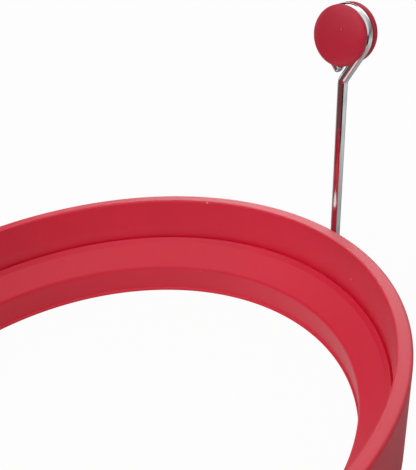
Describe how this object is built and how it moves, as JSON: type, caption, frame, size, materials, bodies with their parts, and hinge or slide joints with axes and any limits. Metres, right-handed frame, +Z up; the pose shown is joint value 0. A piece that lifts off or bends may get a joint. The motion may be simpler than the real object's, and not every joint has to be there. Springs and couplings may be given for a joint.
{
  "type": "egg ring",
  "caption": "Stepped silicone ring that keeps a frying egg round, with a fold-down bent wire handle that ends in an eye holding a round silicone grip.",
  "frame": {"origin": "bottom centre of the whole object's box, on the surface that the ring stands on; the ring's own axis is 6.51 mm towards -X", "axes": "+Z up along the ring's axis, +X from the ring towards its handle, +Y along the handle's hinge pin"},
  "size_m": [0.115, 0.1018, 0.0555],
  "materials": {
    "ring_silicone": "satin moulded silicone",
    "grip_silicone": "satin moulded silicone",
    "wire_steel": "polished stainless steel"
  },
  "bodies": {
    "ring": {"ring_body": "ring_silicone"},
    "handle": {"handle_wire": "wire_steel"},
    "grip_knob": {"grip": "grip_silicone"}
  },
  "joints": [
    {"name": "handle_fold", "type": "hinge", "parent": "ring", "child": "handle", "pos_m": [0.04759, 0, 0.0078], "axis": [0, 1, 0], "range_deg": [-18, 84]},
    {"name": "grip_turn", "type": "hinge", "parent": "handle", "child": "grip_knob", "pos_m": [0.05386, 0, 0.05024], "axis": [0.9573, 0.2521, -0.1414], "continuous": true}
  ]
}
